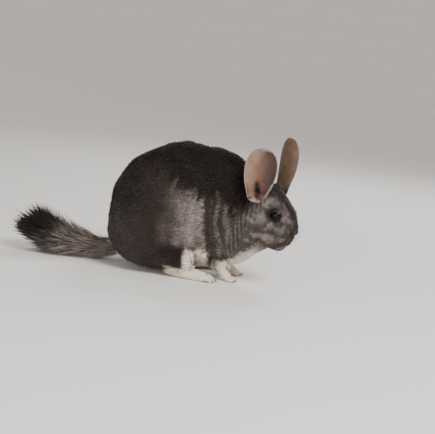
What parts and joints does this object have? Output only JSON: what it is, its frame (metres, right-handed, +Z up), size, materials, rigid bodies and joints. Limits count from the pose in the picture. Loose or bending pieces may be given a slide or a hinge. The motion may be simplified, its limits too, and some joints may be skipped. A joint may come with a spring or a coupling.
{
  "type": "chinchilla",
  "caption": "Life-size grey chinchilla sitting hunched with its round ears up, its head turned a little aside and its bushy tail laid out behind it.",
  "frame": {"origin": "on the ground, under the middle of the bounding box", "axes": "+X forward along the body, towards the head; +Y to the animal's left; +Z up"},
  "size_m": [0.319, 0.1172, 0.1591],
  "materials": {
    "coat": "dense matt plush fur, charcoal grey",
    "pale_coat": "short matt cream-white fur",
    "ear_skin": "thin bare skin, slightly satin",
    "eye": "wet gloss"
  },
  "bodies": {
    "root": {"torso": "coat", "neck": "coat", "head": "coat", "thigh_left": "coat", "thigh_right": "coat", "eye_left": "eye", "eye_right": "eye", "ear_left": "ear_skin", "ear_right": "ear_skin", "foreleg_left": "pale_coat", "foreleg_right": "pale_coat", "hind_foot_left": "pale_coat", "hind_foot_right": "pale_coat", "tail_base": "coat", "tail_brush": "coat"}
  },
  "joints": []
}
